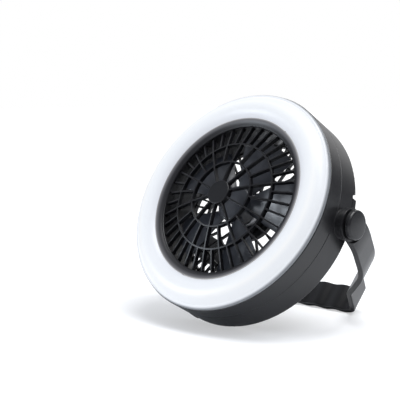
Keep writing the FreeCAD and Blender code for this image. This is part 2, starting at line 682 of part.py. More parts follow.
def make_rear_grille():
    """The flat web behind the fan: frame ring, ribs, two rings and the motor's cup."""
    overlap = REAR_RIB_THICKNESS / 2
    frame_outer = REAR_OPENING_RADIUS - FIT_GAP
    frame_inner = frame_outer - REAR_FRAME_WALL
    back = REAR_GRILLE_FACE
    front = REAR_GRILLE_FACE - REAR_RIB_DEPTH
    zones = (
        (REAR_INNER_RIBS, MOTOR_DISC_RADIUS - overlap, REAR_INNER_RING_RADIUS),
        (2 * REAR_INNER_RIBS, REAR_INNER_RING_RADIUS, REAR_OUTER_RING_RADIUS),
        (4 * REAR_INNER_RIBS, REAR_OUTER_RING_RADIUS, frame_inner + overlap),
    )
    pieces = []
    for count, inner, outer in zones:
        pieces += ribs(count, inner, outer, REAR_RIB_THICKNESS, REAR_RIB_PHASE, back, -front)
    for radius in (REAR_INNER_RING_RADIUS, REAR_OUTER_RING_RADIUS):
        pieces.append(ring(radius - overlap, radius + overlap, back, front))
    disc = Part.makeCylinder(MOTOR_DISC_RADIUS, MOTOR_DISC_FACE - front, V(0, 0, -MOTOR_DISC_FACE))
    seat = Part.makeCylinder(MOTOR_RADIUS + MOTOR_CUP_WALL, MOTOR_SEAT - front, V(0, 0, -MOTOR_SEAT))
    cup = ring(MOTOR_RADIUS + FIT_GAP, MOTOR_RADIUS + FIT_GAP + MOTOR_CUP_WALL,
               MOTOR_SEAT, MOTOR_SEAT - MOTOR_CUP_HEIGHT)
    frame = ring(frame_inner, frame_outer, back, REAR_SEAT_DEPTH)
    web = frame.fuse(pieces + [disc.cut(seat), cup])
    return web.removeSplitter()


# Ring light
def make_light_diffuser():
    """The opal cover: a shallow dome that rests on the housing's front edge, with a skirt inside it."""
    outer = HOUSING_RADIUS - FRONT_EDGE_BREAK
    skirt = DIFFUSER_SKIRT_RADIUS
    inner = GRILLE_RIM_RADIUS + 2 * FIT_GAP
    wall = DIFFUSER_WALL
    round_radius = DIFFUSER_SHOULDER_ROUND
    quarter = round_radius * (1 - 1 / math.sqrt(2))
    shoulder = DIFFUSER_SHOULDER_HEIGHT
    top = DIFFUSER_CROWN_HEIGHT
    crown = DIFFUSER_CROWN_RADIUS
    edges = [
        line(at(skirt, -DECK_DEPTH), at(skirt, 0)),
        line(at(skirt, 0), at(outer, 0)),
        line(at(outer, 0), at(outer, shoulder - round_radius)),
        arc(at(outer, shoulder - round_radius), at(outer - quarter, shoulder - quarter),
            at(outer - round_radius, shoulder)),
        arc(at(outer - round_radius, shoulder), at(crown, top), at(inner, DIFFUSER_INNER_HEIGHT)),
        line(at(inner, DIFFUSER_INNER_HEIGHT), at(inner, -DECK_DEPTH)),
        line(at(inner, -DECK_DEPTH), at(inner + wall, -DECK_DEPTH)),
        line(at(inner + wall, -DECK_DEPTH), at(inner + wall, DIFFUSER_INNER_HEIGHT - wall / 2)),
        arc(at(inner + wall, DIFFUSER_INNER_HEIGHT - wall / 2), at(crown, top - wall),
            at(outer - round_radius, shoulder - wall)),
        line(at(outer - round_radius, shoulder - wall), at(skirt - wall, 0)),
        line(at(skirt - wall, 0), at(skirt - wall, -DECK_DEPTH)),
        line(at(skirt - wall, -DECK_DEPTH), at(skirt, -DECK_DEPTH)),
    ]
    return turned(edges)


def make_led_board():
    inner = GRILLE_RIM_RADIUS + 2 * FIT_GAP + DIFFUSER_WALL + FIT_GAP
    outer = DIFFUSER_SKIRT_RADIUS - DIFFUSER_WALL - FIT_GAP
    return ring(inner, outer, DECK_DEPTH, DECK_DEPTH - LED_BOARD_WALL)


def make_led_chips():
    board_top = LED_BOARD_WALL - DECK_DEPTH
    chips = []
    for i in range(LED_COUNT):
        chip = block(DIFFUSER_CROWN_RADIUS - LED_WIDTH / 2, DIFFUSER_CROWN_RADIUS + LED_WIDTH / 2,
                     -LED_LENGTH / 2, LED_LENGTH / 2, board_top, board_top + LED_HEIGHT)
        chips.append(turn(chip, 360.0 * i / LED_COUNT))
    return Part.Compound(chips)


# Impeller and motor
def blade_section(radius, chord, pitch):
    """A thin cambered section across a blade, square to the radius."""
    a = math.radians(pitch)
    along = V(0, math.cos(a), math.sin(a))
    up = V(0, -math.sin(a), math.cos(a))
    centre = V(radius, 0, -BLADE_MIDPLANE)
    tail = centre - along * (chord / 2)
    nose = centre + along * (chord / 2)
    edge = up * (BLADE_EDGE / 2)
    top = centre + up * (BLADE_CAMBER + BLADE_THICKNESS / 2)
    under = centre + up * (BLADE_CAMBER - BLADE_THICKNESS / 2)
    edges = [
        arc(tail + edge, top, nose + edge),
        line(nose + edge, nose - edge),
        arc(nose - edge, under, tail - edge),
        line(tail - edge, tail + edge),
    ]
    return Part.Wire(edges)


def make_blade():
    sections = [
        blade_section(BLADE_ROOT_RADIUS, BLADE_ROOT_CHORD, BLADE_ROOT_PITCH),
        blade_section(BLADE_MIDDLE_RADIUS, BLADE_MIDDLE_CHORD, BLADE_MIDDLE_PITCH),
        blade_section(BLADE_TIP_RADIUS, BLADE_TIP_CHORD, BLADE_TIP_PITCH),
    ]
    sweep = Part.makeLoft(sections, True, False)
    swept_disc = ring(BLADE_ROOT_RADIUS, BLADE_TIP_RADIUS, HOUSING_DEPTH, 0)
    return sweep.common(swept_disc).Solids[0]


def make_impeller():
    """A cup hub with a boss for the shaft and wide twisted blades round it."""
    front = -IMPELLER_FRONT_DEPTH
    back = front - IMPELLER_SKIRT
    radius = IMPELLER_HUB_RADIUS
    wall = IMPELLER_HUB_WALL
    edge = IMPELLER_HUB_EDGE
    quarter = edge * (1 - 1 / math.sqrt(2))
    bore = SHAFT_RADIUS
    boss = IMPELLER_BOSS_RADIUS
    insert = front - wall - SHAFT_INSERT
    points = [
        at(radius - edge, front),
        at(0, front),
        at(0, front - wall),
        at(bore, front - wall),
        at(bore, insert),
        at(boss, insert),
        at(boss, front - wall),
        at(radius - wall, front - wall),
        at(radius - wall, back),
        at(radius, back),
        at(radius, front - edge),
    ]
    edges = [line(a, b) for a, b in zip(points, points[1:])]
    edges.append(arc(points[-1], at(radius - quarter, front - quarter), points[0]))
    hub = turned(edges)
    inside = Part.makeCylinder(radius - wall, IMPELLER_SKIRT, V(0, 0, back))
    blade = make_blade().cut(inside)
    blades = [turn(blade, BLADE_PHASE + 360.0 * i / BLADE_COUNT) for i in range(BLADE_COUNT)]
    return hub.fuse(blades)


def make_motor_shaft():
    tip = -IMPELLER_FRONT_DEPTH - IMPELLER_HUB_WALL
    foot = -MOTOR_CAP_FRONT
    return Part.makeCylinder(SHAFT_RADIUS, tip - foot, V(0, 0, foot))


def make_motor_can():
    """The steel can, with the running bore for its shaft."""
    length = MOTOR_CAN_LENGTH
    can = Part.makeCylinder(MOTOR_RADIUS, length, V(0, 0, -MOTOR_CAP_FRONT))
    bore = Part.makeCylinder(SHAFT_RADIUS + RUNNING_GAP, length, V(0, 0, -MOTOR_CAP_FRONT))
    front_edge = [e for e in can.Edges if len(e.Vertexes) == 1
                  and e.CenterOfMass.z > -MOTOR_CAP_FRONT + length / 2]
    return can.makeFillet(SHAFT_RADIUS, front_edge).cut(bore)


def make_motor_end_cap():
    return Part.makeCylinder(MOTOR_RADIUS - FIT_GAP, MOTOR_CAP_LENGTH, V(0, 0, -MOTOR_SEAT))


def make_motor_bush():
    return ring(SHAFT_RADIUS + RUNNING_GAP, BUSH_RADIUS, MOTOR_CAN_FRONT, MOTOR_CAN_FRONT - BUSH_LENGTH)


# Batteries
def bay_frame(shape, side):
    return turn(shape, BAY_ANGLES[side])


def cell_depth(layer):
    first = DECK_BACK + CELL_GAP + CELL_RADIUS
    return first + layer * (2 * CELL_RADIUS + CELL_GAP)


def make_battery_cell(side, layer):
    """A cell that lies across the bay, its positive end to one side or the other."""
    facing = 1 if layer % 2 else -1
    start = V(CELL_DISTANCE, -facing * CELL_SPAN / 2, -cell_depth(layer))
    along = V(0, facing, 0)
    can = Part.makeCylinder(CELL_RADIUS, CELL_LENGTH, start, along)
    nub = Part.makeCylinder(CELL_NUB_RADIUS, CELL_NUB_LENGTH, start + along * CELL_LENGTH, along)
    return bay_frame(can.fuse(nub), side)


def make_battery_contacts(side):
    """A plate at each end of the bay, with a coned spring for each cell."""
    plates = []
    back = cell_depth(CELLS_PER_BAY - 1) + CONTACT_WIDTH / 2
    front = cell_depth(0) - CONTACT_WIDTH / 2
    for end in (-1, 1):
        wall_y = end * BAY_HALF_LENGTH
        face_y = end * (BAY_HALF_LENGTH - CONTACT_WALL)
        plate = block(CELL_DISTANCE - CONTACT_WIDTH / 2, CELL_DISTANCE + CONTACT_WIDTH / 2,
                      min(wall_y, face_y), max(wall_y, face_y), -back, -front)
        springs = []
        for layer in range(CELLS_PER_BAY):
            centre = V(CELL_DISTANCE, face_y, -cell_depth(layer))
            springs.append(Part.makeCone(CELL_NUB_RADIUS, CELL_NUB_RADIUS / 2, CONTACT_SPRING - FIT_GAP,
                                         centre, V(0, -end, 0)))
        plates.append(plate.fuse(springs))
    return bay_frame(Part.Compound(plates), side)


def make_battery_door(side):
    """A flush cover that swings on two stub pins and clips in with a latch tab at the rim."""
    plate = door_outline(DOOR_INNER_EDGE + DOOR_HINGE_GAP, DOOR_OUTER_RADIUS - FIT_GAP,
                         DOOR_HALF_ANGLE - math.degrees(FIT_GAP / DOOR_INNER_EDGE),
                         HOUSING_DEPTH, HOUSING_DEPTH - DOOR_WALL, DOOR_CORNER)
    latch = block(DOOR_OUTER_RADIUS - DOOR_WALL, HOUSING_RADIUS + LATCH_PROUD,
                  -LATCH_WIDTH / 2, LATCH_WIDTH / 2,
                  -HOUSING_DEPTH, LATCH_DEPTH - FIT_GAP - HOUSING_DEPTH)
    rim_edges = [e for e in latch.Edges if e.CenterOfMass.x > HOUSING_RADIUS
                 and e.CenterOfMass.z < LATCH_DEPTH / 2 - HOUSING_DEPTH]
    latch = latch.makeFillet(REAR_EDGE_ROUND / 2, rim_edges)
    hinge = door_ears(DOOR_WALL) + door_pins(DOOR_PIN_RADIUS, DOOR_PIN_REACH)
    door = plate.fuse([latch] + hinge)
    return bay_frame(door, side)


# Switch
def switch_frame(shape):
    return turn(shape, SWITCH_ANGLE)


def make_power_switch():
    """A small sliding thumb piece, with a flange inside that covers its slot."""
    knob = block(SWITCH_SLOT_INNER + FIT_GAP, SWITCH_KNOB_REACH,
                 -SWITCH_KNOB_WIDTH / 2, SWITCH_KNOB_WIDTH / 2,
                 -HOUSING_DEPTH - SWITCH_KNOB_PROUD, SWITCH_SLOT_DEPTH - FIT_GAP - HOUSING_DEPTH)
    outer_edges = [e for e in knob.Edges if e.CenterOfMass.x > SWITCH_KNOB_REACH - FIT_GAP]
    knob = knob.makeFillet(FRONT_EDGE_BREAK, outer_edges)
    flange = block(SWITCH_SLOT_INNER - SWITCH_FLANGE_WALL, SWITCH_SLOT_INNER,
                   -SWITCH_FLANGE_WIDTH / 2, SWITCH_FLANGE_WIDTH / 2,
                   SIDE_GAP - REAR_PLATE_FRONT, SIDE_GAP - REAR_PLATE_FRONT + SWITCH_FLANGE_DEPTH)
    neck = block(SWITCH_SLOT_INNER - SWITCH_FLANGE_WALL / 2, SWITCH_SLOT_INNER + 2 * FIT_GAP,
                 -SWITCH_KNOB_WIDTH / 2, SWITCH_KNOB_WIDTH / 2,
                 SIDE_GAP - REAR_PLATE_FRONT, SWITCH_SLOT_DEPTH - FIT_GAP - HOUSING_DEPTH)
    return switch_frame(knob.fuse([flange, neck]))


def make_switch_body():
    outer = SWITCH_SLOT_INNER - SWITCH_FLANGE_WALL - SIDE_GAP
    back = REAR_PLATE_FRONT - SIDE_GAP
    half = SWITCH_BODY_WIDTH / 2
    return switch_frame(block(outer - SWITCH_BODY_RADIAL, outer, -half, half,
                              -back, SWITCH_BODY_DEPTH - back))


def make_control_board():
    outer = SWITCH_SLOT_INNER - SWITCH_FLANGE_WALL - SIDE_GAP
    back = REAR_PLATE_FRONT - SWITCH_BODY_DEPTH - SIDE_GAP
    return switch_frame(block(outer - BOARD_RADIAL, outer, -BOARD_WIDTH / 2, BOARD_WIDTH / 2,
                              -back, BOARD_WALL - back))


# Power socket
def make_dc_jack():
    """A barrel socket: square body, round bore and a centre pin."""
    body = block(JACK_FACE - JACK_LENGTH, JACK_FACE, -JACK_WIDTH / 2, JACK_WIDTH / 2,
                 -SEAM_DEPTH - JACK_HEIGHT / 2, JACK_HEIGHT / 2 - SEAM_DEPTH)
    bore = cylinder_x(JACK_BORE_RADIUS, JACK_FACE - JACK_BORE_DEPTH, JACK_FACE, 0, -SEAM_DEPTH)
    pin = cylinder_x(JACK_PIN_RADIUS, JACK_FACE - JACK_BORE_DEPTH, JACK_FACE - FIT_GAP, 0, -SEAM_DEPTH)
    return turn(body.cut(bore).fuse(pin), JACK_ANGLE)


def make_jack_cover():
    """An arched flap that lies flush in the wall, with a round hinge bead and a short plug."""
    half = COVER_WIDTH / 2
    arch_depth = COVER_TOP_DEPTH - half
    inner = HOUSING_RADIUS - COVER_WALL
    column = block(0, HOUSING_RADIUS + SHELL_WALL, -half, half, -arch_depth, -COVER_FOOT_DEPTH)
    arch = cylinder_x(half, 0, HOUSING_RADIUS + SHELL_WALL, 0, -arch_depth)
    skin = ring(inner, HOUSING_RADIUS, HOUSING_DEPTH, 0)
    flap = skin.common(block(0, HOUSING_RADIUS, -half, half, -HOUSING_DEPTH, 0)).common(column.fuse(arch))
    plug = cylinder_x(COVER_PLUG_RADIUS, inner - COVER_PLUG_LENGTH, inner + COVER_WALL / 2, 0, -SEAM_DEPTH)
    bead = Part.makeCylinder(COVER_BEAD_RADIUS, COVER_BEAD_LENGTH,
                             V(HOUSING_RADIUS, -COVER_BEAD_LENGTH / 2, -COVER_HINGE_DEPTH), V(0, 1, 0))
    return turn(flap.fuse([plug, bead]), JACK_ANGLE)


# Pivots
def make_pivot_pin():
    """A shouldered pin: head inside the wall, bearing in the strap's eye, tenon in the knob."""
    head = cylinder_x(PIN_HEAD_RADIUS, BOSS_INNER_FACE - PIN_HEAD_LENGTH, BOSS_INNER_FACE, 0, -PIVOT_DEPTH)
    body = cylinder_x(PIN_RADIUS, BOSS_INNER_FACE, PIN_END, 0, -PIVOT_DEPTH)
    tenon = cylinder_x(PIN_TENON_RADIUS, PIN_END, PIN_END + PIN_TENON_LENGTH, 0, -PIVOT_DEPTH)
    return head.fuse([body, tenon])


def make_pivot_knob():
    """A round cap with a narrow neck, a broad bevel and a slightly domed face."""
    neck = KNOB_NECK_LENGTH
    rim = neck + KNOB_LENGTH - KNOB_DOME - KNOB_EDGE
    face = KNOB_RADIUS - KNOB_EDGE
    top = neck + KNOB_LENGTH
    quarter = KNOB_EDGE * (1 - 1 / math.sqrt(2))
    points = [
        at(face, rim + KNOB_EDGE),
        at(KNOB_RADIUS, rim),
        at(KNOB_RADIUS, neck + KNOB_NECK_LENGTH / 2),
        at(KNOB_RADIUS - KNOB_NECK_LENGTH / 2, neck),
        at(KNOB_NECK_RADIUS, neck),
        at(KNOB_NECK_RADIUS, 0),
        at(PIN_TENON_RADIUS + FIT_GAP / 2, 0),
        at(PIN_TENON_RADIUS + FIT_GAP / 2, PIN_TENON_LENGTH + FIT_GAP),
        at(0, PIN_TENON_LENGTH + FIT_GAP),
        at(0, top),
    ]
    edges = [line(a, b) for a, b in zip(points[1:], points[2:])]
    edges.append(arc(points[-1], at(face / 2, top - KNOB_DOME / 4), points[0]))
    edges.append(arc(points[0], at(KNOB_RADIUS - quarter, rim + KNOB_EDGE - quarter), points[1]))
    knob = turned(edges)
    knob.rotate(ORIGIN, V(0, 1, 0), 90)
    knob.translate(V(PIN_END, 0, -PIVOT_DEPTH))
    return knob


# Handle and hook
def wave_point(index):
    """A crest or a hollow of the grip, counted outwards from its middle."""
    lift = GRIP_WAVE_HEIGHT if index % 2 else -GRIP_WAVE_HEIGHT
    return V(index * GRIP_WAVE_PITCH, GRIP_HEIGHT + lift, 0)


def handle_path():
    """The strap's centre line from one pivot to the other, carried upright."""
    side = [V(STRAP_REACH, 0, 0), SHOULDER_START, SHOULDER_BEND, SHOULDER_KINK, wave_point(GRIP_WAVES + 1)]
    side_radii = [START_ROUND, BEND_ROUND, KINK_ROUND, GRIP_CORNER_ROUND]
    waves = [wave_point(i) for i in range(GRIP_WAVES, -GRIP_WAVES - 1, -1)]
    wave_radii = [GRIP_WAVE_ROUND] * len(waves)
    other = [V(-p.x, p.y, 0) for p in reversed(side)]
    return side + waves + other, side_radii + wave_radii + list(reversed(side_radii))


def make_handle():
    """One moulding: two straps with pivot eyes, and a wavy grip with the hook's slot."""
    points, radii = handle_path()
    band = strip(points, radii, STRAP_THICKNESS, STRAP_WIDTH, STRAP_EDGE)
    eye = cylinder_x(EYE_RADIUS, EYE_INNER_FACE, EYE_FACE)
    knuckle = Part.makeCylinder(KNUCKLE_RADIUS, KNUCKLE_WIDTH,
                                V(0, KNUCKLE_HEIGHT, -KNUCKLE_WIDTH / 2), Z_AXIS)
    body = band.fuse([eye, mirrored(eye), knuckle])
    counterbore = cylinder_x(EYE_COUNTERBORE_RADIUS, EYE_FACE, HOUSING_RADIUS + BOSS_RADIUS)
    bore = cylinder_x(PIN_RADIUS + RUNNING_GAP, BOSS_REACH, PIN_END)
    slot = block(-HOOK_SLOT_END, HOOK_SLOT_START, KNUCKLE_HEIGHT - 2 * KNUCKLE_RADIUS,
                 GRIP_HEIGHT + STRAP_THICKNESS, -HOOK_SLOT_WIDTH / 2, HOOK_SLOT_WIDTH / 2)
    pin_hole = Part.makeCylinder(HOOK_PIN_RADIUS, KNUCKLE_WIDTH,
                                 V(0, KNUCKLE_HEIGHT, -KNUCKLE_WIDTH / 2), Z_AXIS)
    return body.cut([counterbore, mirrored(counterbore), bore, mirrored(bore), slot, pin_hole])


def make_hook():
    """A flat hook that follows the grip's waves and ends in a round curl."""
    curl_top = GRIP_HEIGHT + GRIP_WAVE_HEIGHT / 4
    curl_low = curl_top - 2 * HOOK_CURL_RADIUS
    shaft = [V(-p.x, p.y, 0) for p in (wave_point(i) for i in range(1, GRIP_WAVES - 1))]
    points = [V(0, KNUCKLE_HEIGHT, 0)] + shaft + [
        V(-HOOK_CURL_REACH, curl_top, 0),
        V(-HOOK_CURL_REACH, curl_low, 0),
        V(HOOK_CURL_RADIUS + HOOK_TIP_LENGTH - HOOK_CURL_REACH, curl_low, 0),
    ]
    radii = [GRIP_WAVE_ROUND] * len(shaft) + [HOOK_CURL_RADIUS] * 2
    bar = strip(points, radii, HOOK_THICKNESS, HOOK_WIDTH, HOOK_EDGE)
    eye = Part.makeCylinder(HOOK_EYE_RADIUS, HOOK_WIDTH, V(0, KNUCKLE_HEIGHT, -HOOK_WIDTH / 2), Z_AXIS)
    bore = Part.makeCylinder(HOOK_PIN_RADIUS + RUNNING_GAP, HOOK_WIDTH,
                             V(0, KNUCKLE_HEIGHT, -HOOK_WIDTH / 2), Z_AXIS)
    return bar.fuse(eye).cut(bore)


def make_hook_pin():
    start = V(0, KNUCKLE_HEIGHT, -KNUCKLE_WIDTH / 2)
    return Part.makeCylinder(HOOK_PIN_RADIUS, KNUCKLE_WIDTH, start, Z_AXIS)


def make_case_screws():
    """Three screws from the back, their heads at the bottom of the wells."""
    screws = []
    seat = HOUSING_DEPTH - SCREW_WELL_DEPTH
    for angle in SCREW_ANGLES:
        head = Part.makeCylinder(SCREW_HEAD_RADIUS, SCREW_HEAD_LENGTH,
                                 polar(SCREW_CIRCLE_RADIUS, angle, -seat - SCREW_HEAD_LENGTH))
        shank = Part.makeCylinder(SCREW_RADIUS, seat - SCREW_REACH,
                                  polar(SCREW_CIRCLE_RADIUS, angle, -seat))
        screws.append(head.fuse(shank))
    return Part.Compound(screws)


# Stance: how far the handle folds back so that its grip and the rim both touch the floor
def rim_drop():
    """From the fan's centre down to the lowest point of the leaned rear rim."""
    lean = math.radians(LEAN_ANGLE)
    return ((HOUSING_RADIUS - REAR_EDGE_ROUND) * math.cos(lean)
            + (HOUSING_DEPTH - REAR_EDGE_ROUND) * math.sin(lean) + REAR_EDGE_ROUND)


def crest_height():
    """The grip's centre line at the top of a wave, where its rounding takes off the peak."""
    slope = math.atan2(2 * GRIP_WAVE_HEIGHT, GRIP_WAVE_PITCH)
    return GRIP_HEIGHT + GRIP_WAVE_HEIGHT - GRIP_WAVE_ROUND * (1 / math.cos(slope) - 1)


def handle_fold():
    """The handle's angle back from hanging straight down, in the fan's own frame."""
    out = crest_height() + STRAP_THICKNESS / 2 - STRAP_EDGE
    across = STRAP_WIDTH / 2 - STRAP_EDGE
    pivot_height = rim_drop() - PIVOT_DEPTH * math.sin(math.radians(LEAN_ANGLE))
    reach = math.hypot(out, across)
    swing = math.atan2(across, out) + math.acos((pivot_height - STRAP_EDGE) / reach)
    return math.degrees(swing) + LEAN_ANGLE


def fold_handle(shape):
    shape.rotate(ORIGIN, X_AXIS, 180 + handle_fold())
    shape.translate(V(0, 0, -PIVOT_DEPTH))
    return shape


def build():
    nodes = {
        "front_housing": make_front_housing(),
        "rear_housing": make_rear_housing(),
        "front_grille": make_front_grille(),
        "rear_grille": make_rear_grille(),
        "light_diffuser": make_light_diffuser(),
        "led_board": make_led_board(),
        "led_chips": make_led_chips(),
        "impeller": make_impeller(),
        "motor_shaft": make_motor_shaft(),
        "motor_can": make_motor_can(),
        "motor_end_cap": make_motor_end_cap(),
        "motor_bush": make_motor_bush(),
        "power_switch": make_power_switch(),
        "switch_body": make_switch_body(),
        "control_board": make_control_board(),
        "dc_jack": make_dc_jack(),
        "jack_cover": make_jack_cover(),
        "case_screws": make_case_screws(),
        "pivot_pin_right": make_pivot_pin(),
        "pivot_pin_left": mirrored(make_pivot_pin()),
        "pivot_knob_right": make_pivot_knob(),
        "pivot_knob_left": mirrored(make_pivot_knob()),
        "handle": fold_handle(make_handle()),
        "hook": fold_handle(make_hook()),
        "hook_pin": fold_handle(make_hook_pin()),
    }
    for side in BAY_ANGLES:
        nodes["battery_door_" + side] = make_battery_door(side)
        nodes["battery_contacts_" + side] = make_battery_contacts(side)
        for layer in range(CELLS_PER_BAY):
            nodes["battery_cell_%s_%d" % (side, layer + 1)] = make_battery_cell(side, layer)
    return nodes


def stand_up(nodes):
    """Lean every piece back and put the middle of the footprint at the origin."""
    for shape in nodes.values():
        shape.rotate(ORIGIN, X_AXIS, 90 - LEAN_ANGLE)
    box = Part.Compound(list(nodes.values())).optimalBoundingBox(False, False)
    shift = V(0, -(box.YMin + box.YMax) / 2, rim_drop())
    for shape in nodes.values():
        shape.translate(shift)
    return shift


os.makedirs("parts", exist_ok=True)
NODES = build()
SHIFT = stand_up(NODES)
for node_name, node_shape in NODES.items():
    node_shape.exportStep("parts/" + node_name + ".step")
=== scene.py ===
# %% [markdown]
# # A portable camping fan
# The construction is finished in the frame that this script loads: every piece is already
# there, at its real size. What is left is how it looks. We set up the camera and the light,
# then give each piece its finish, and model the small forms that only the eye needs.

# %% Load the frame
import math

import bpy
from mathutils import Matrix, Vector


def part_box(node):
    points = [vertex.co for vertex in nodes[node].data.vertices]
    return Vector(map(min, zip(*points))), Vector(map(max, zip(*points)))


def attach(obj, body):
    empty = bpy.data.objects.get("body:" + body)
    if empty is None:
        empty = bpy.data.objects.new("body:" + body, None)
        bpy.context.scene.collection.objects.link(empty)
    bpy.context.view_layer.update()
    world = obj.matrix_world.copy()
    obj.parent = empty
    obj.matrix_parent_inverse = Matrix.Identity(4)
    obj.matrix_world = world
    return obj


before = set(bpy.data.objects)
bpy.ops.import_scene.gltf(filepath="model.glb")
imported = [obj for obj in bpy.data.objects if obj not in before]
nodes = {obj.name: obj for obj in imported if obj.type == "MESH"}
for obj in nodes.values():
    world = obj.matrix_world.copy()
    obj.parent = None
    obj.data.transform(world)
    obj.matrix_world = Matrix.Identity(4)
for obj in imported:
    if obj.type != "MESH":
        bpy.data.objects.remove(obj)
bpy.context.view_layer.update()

bpy.ops.object.select_all(action="DESELECT")
print("pieces in the frame:", len(nodes))

# %% [markdown]
# The whole lantern leans back, and most of its forms are round about one slanted axis. It is
# much easier to think along that axis, so we measure where it is. The light's circuit board is
# a flat ring, so the middle of its box is the middle of the fan, a little behind the front edge.

# %% Find the fan's own axis
LEAN = math.radians(29)
BOARD_MIDDLE_DEPTH = 0.0034
board_low, board_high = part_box("led_board")
tilt = Matrix.Rotation(math.radians(90) - LEAN, 3, "X")
fan_axis = tilt @ Vector((0, 0, 1))
fan_centre = (board_low + board_high) / 2 + fan_axis * BOARD_MIDDLE_DEPTH
print("fan centre", [round(v, 5) for v in fan_centre], "axis", [round(v, 4) for v in fan_axis])

# %% [markdown]
# The photograph was taken with a long lens from the front right, a little above the middle of
# the fan. A long lens keeps the ring's ellipse even. We place the camera by its two angles and
# its distance, and aim it so that the fan sits in the frame where the photograph has it.

# %% Camera
CAMERA_AZIMUTH = math.radians(42.7)
CAMERA_ELEVATION = math.radians(6.5)
FAN_IN_VIEW = Vector((0.0217, 0.0006, -0.764))
LENS_MM = 90
SENSOR_MM = 36
NEAREST_SEEN = 0.01
camera_data = bpy.data.cameras.new("photo_camera")
camera_data.lens = LENS_MM
camera_data.sensor_width = SENSOR_MM
camera_data.clip_start = NEAREST_SEEN
camera = bpy.data.objects.new("photo_camera", camera_data)
bpy.context.scene.collection.objects.link(camera)
camera.rotation_euler = (math.radians(90) - CAMERA_ELEVATION, 0, CAMERA_AZIMUTH)
camera.location = fan_centre - camera.rotation_euler.to_matrix() @ FAN_IN_VIEW
bpy.context.scene.camera = camera
bpy.context.scene.view_settings.view_transform = "Standard"
print("camera at", [round(v, 4) for v in camera.location])

# %% [markdown]
# A shader is a small graph of nodes. Written as Python arithmetic it stays readable: a Wire is
# one output of a node, and adding or multiplying two wires adds the Math node for it. A Graph
# is any node tree; its node method makes a node from its settings and its inputs. A Finish is
# the graph of one material.


# %% Shader maths as Python
class Wire:
    """One output of a shader node, with the arithmetic that the finishes use."""

    def __init__(self, graph, socket):
        self.graph = graph
        self.socket = socket

    def __add__(self, other):
        return self.graph.maths("ADD", self, other)

    __radd__ = __add__

    def __sub__(self, other):
        return self.graph.maths("SUBTRACT", self, other)

    def __mul__(self, other):
        return self.graph.maths("MULTIPLY", self, other)

    def __truediv__(self, other):
        return self.graph.maths("DIVIDE", self, other)

    def output(self, name):
        return Wire(self.graph, self.socket.node.outputs[name])


class Graph:
    """A node tree, with a short way to add each kind of node that we need."""

    def __init__(self, tree):
        self.tree = tree

    def node(self, kind, settings=None, inputs=None):
        made = self.tree.nodes.new(kind)
        for setting, value in (settings or {}).items():
            if setting == "stops":
                ramp = made.color_ramp.elements
                while len(ramp) < len(value):
                    ramp.new(0.5)
                for element, (position, colour) in zip(ramp, value):
                    element.position = position
                    element.color = (*colour, 1)
            else:
                setattr(made, setting, value)
        for socket, value in (inputs or {}).items():
            self.feed(made.inputs[socket], value)
        return Wire(self, next((s for s in made.outputs if s.enabled), None))

    def feed(self, socket, value):
        if isinstance(value, Wire):
            self.tree.links.new(value.socket, socket)
        else:
            socket.default_value = value

    def maths(self, operation, *values):
        return self.node("ShaderNodeMath", {"operation": operation}, dict(enumerate(values)))

    def mix(self, amount, first, second):
        made = self.tree.nodes.new("ShaderNodeMix")
        made.data_type = "RGBA"
        self.feed(made.inputs["Factor"], amount)
        self.feed(made.inputs[6], first)
        self.feed(made.inputs[7], second)
        return Wire(self, made.outputs[2])

    def ramp(self, value, stops):
        return self.node("ShaderNodeValToRGB", {"stops": stops}, {"Fac": value})

    def place(self):
        return self.node("ShaderNodeTexCoord").output("Object")

    def fan_place(self):
        """Object coordinates turned into the fan's own: X across, Y up its face, Z out."""
        back = tilt.transposed()
        return self.node("ShaderNodeMapping", {"vector_type": "POINT"}, {
            "Vector": self.place(),
            "Rotation": back.to_euler(),
            "Location": -(back @ fan_centre)})

    def radius(self, place):
        """How far a place is from the Z axis."""
        flat = self.node("ShaderNodeVectorMath", {"operation": "MULTIPLY"}, {
            0: place, 1: (1, 1, 0)})
        length = self.node("ShaderNodeVectorMath", {"operation": "LENGTH"}, {0: flat})
        return length.output("Value")

    def noise(self, place, size, detail):
        return self.node("ShaderNodeTexNoise", None, {
            "Vector": place, "Scale": 1 / size, "Detail": detail})


class Finish(Graph):
    """A material: one main shader, and the nodes that feed it."""

    def __init__(self, name, **constants):
        self.material = bpy.data.materials.new(name)
        self.material.use_nodes = True
        super().__init__(self.material.node_tree)
        self.shader = self.tree.nodes["Principled BSDF"]
        self.out = self.tree.nodes["Material Output"]
        for socket, value in constants.items():
            self.shader.inputs[socket.replace("_", " ")].default_value = value

    def set(self, socket, value):
        self.feed(self.shader.inputs[socket], value)

    def bump(self, height, depth, strength, edge=0.0):
        """Fine relief, and edges that the shading alone sees as round."""
        inputs = {"Height": height, "Distance": depth, "Strength": strength}
        if edge:
            inputs["Normal"] = self.node("ShaderNodeBevel", {"samples": 6}, {"Radius": edge})
        self.set("Normal", self.node("ShaderNodeBump", None, inputs))


def wear(names, finish):
    """Gives CAD nodes a finish."""
    for name in names:
        nodes[name].data.materials.clear()
        nodes[name].data.materials.append(finish.material)


# %% [markdown]
# A pale studio. The sky's light is weak at the horizon and stronger overhead, with a white
# backdrop behind the fan that its rim and its knobs reflect. Three lamps join it: a large one
# above, a low one from the front left that reaches the blades through the grille, and a small
# one high on the right that draws the grey lines on the dark rim. The camera alone sees the
# whole sky as white, and most of the floor as a plain glow that fades near the fan, so that
# the shadow stays. The object itself is lit at a plain level and keeps its own colours.

